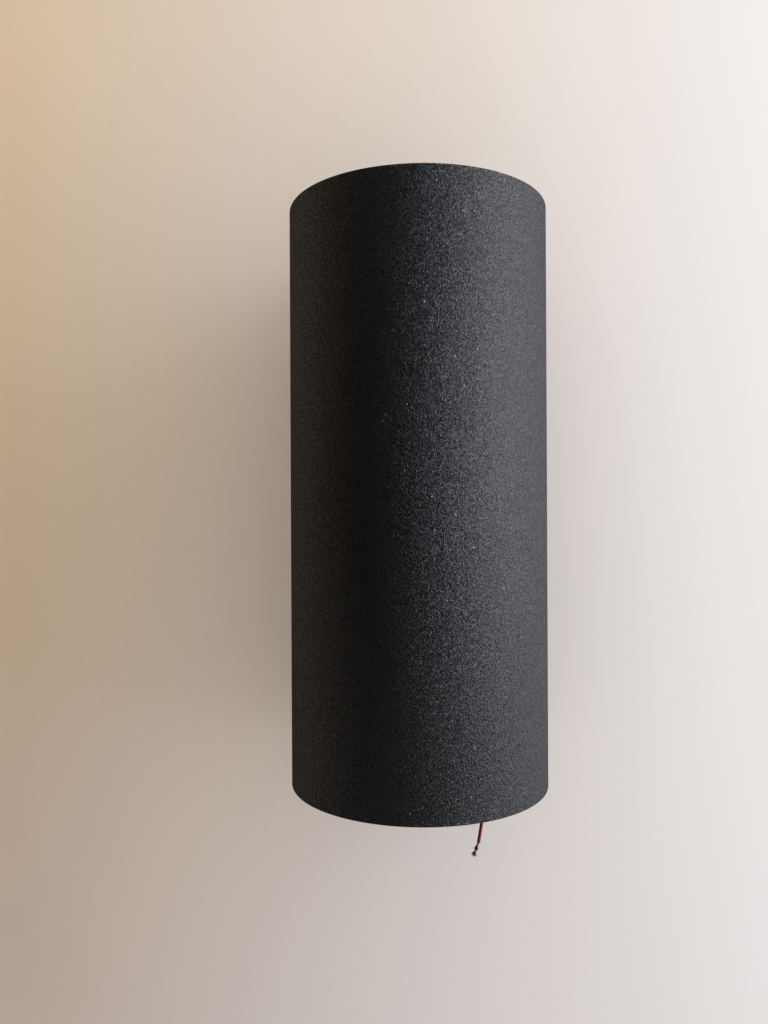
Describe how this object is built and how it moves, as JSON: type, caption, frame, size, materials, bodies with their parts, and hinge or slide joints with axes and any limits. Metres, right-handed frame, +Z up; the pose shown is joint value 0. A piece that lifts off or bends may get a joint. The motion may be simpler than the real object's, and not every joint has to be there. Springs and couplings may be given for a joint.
{
  "type": "tube wall light",
  "caption": "Straight black tube wall light, open at both ends, with lamps shining up and down and a shallow back housing that hangs on a wall bracket.",
  "frame": {"origin": "on the wall plane, at the centre of the four wall-screw holes", "axes": "+Z up along the tube, +Y into the wall, +X to the right seen from the front"},
  "size_m": [0.09, 0.102, 0.2386],
  "materials": {
    "black_powder_coat": "fine sand-textured powder coat",
    "zinc_steel": "zinc plated sheet",
    "screw_steel": "bright zinc plated",
    "black_rubber": "moulded",
    "foam_seal": "closed-cell foam",
    "brass": "turned",
    "white_ceramic": "unglazed steatite",
    "white_polyamide": "moulded",
    "lamp_white": "moulded",
    "lamp_aluminium": "satin",
    "pin_nickel": "nickel plated",
    "lens_clear": "clear optical moulding",
    "board_white": "white solder mask on aluminium",
    "led_phosphor": "phosphor dome on ceramic",
    "driver_board": "printed circuit board",
    "red_lead": "extruded insulation",
    "black_lead": "extruded insulation",
    "earth_lead": "green and yellow insulation",
    "tinned_copper": "tinned strands"
  },
  "bodies": {
    "bracket": {"wall_bracket": "zinc_steel", "bracket_grommet": "black_rubber", "bracket_earth_screw": "brass", "bracket_earth_washer": "brass"},
    "fixture": {"tube_body": "black_powder_coat", "back_housing": "black_powder_coat", "wall_seal": "foam_seal", "tube_grommet": "black_rubber", "hang_studs": "screw_steel", "stud_washers": "screw_steel", "stud_nuts": "screw_steel", "lock_screws": "screw_steel", "holder_bracket_upper": "zinc_steel", "holder_bracket_lower": "zinc_steel", "lampholder_upper": "white_ceramic", "lampholder_lower": "white_ceramic", "contacts_upper": "brass", "contacts_lower": "brass", "holder_screws": "screw_steel", "holder_nuts": "screw_steel", "terminal_block": "white_polyamide", "terminal_inserts": "brass", "terminal_screws": "screw_steel", "terminal_fixing_screws": "screw_steel", "earth_lug": "tinned_copper", "earth_screw": "brass", "earth_nut": "brass", "earth_lead": "earth_lead", "lead_upper_live": "red_lead", "lead_upper_neutral": "black_lead", "lead_lower_neutral": "black_lead", "loose_lead": "red_lead", "loose_lead_tail": "tinned_copper"},
    "upper_lamp": {"lamp_upper_base": "lamp_white", "lamp_upper_pins": "pin_nickel", "lamp_upper_shell": "lamp_aluminium", "lamp_upper_led_board": "board_white", "lamp_upper_led": "led_phosphor", "lamp_upper_lens": "lens_clear", "lamp_upper_driver": "driver_board"},
    "lower_lamp": {"lamp_lower_base": "lamp_white", "lamp_lower_pins": "pin_nickel", "lamp_lower_shell": "lamp_aluminium", "lamp_lower_led_board": "board_white", "lamp_lower_led": "led_phosphor", "lamp_lower_lens": "lens_clear", "lamp_lower_driver": "driver_board"}
  },
  "joints": [
    {"name": "lift_off", "type": "slide", "parent": "bracket", "child": "fixture", "axis": [0, 0, 1], "range_m": [0, 0.01]},
    {"name": "upper_lamp_pull", "type": "slide", "parent": "fixture", "child": "upper_lamp", "axis": [0, 0, 1], "range_m": [0, 0.08]},
    {"name": "lower_lamp_pull", "type": "slide", "parent": "fixture", "child": "lower_lamp", "axis": [0, 0, -1], "range_m": [0, 0.08]}
  ]
}
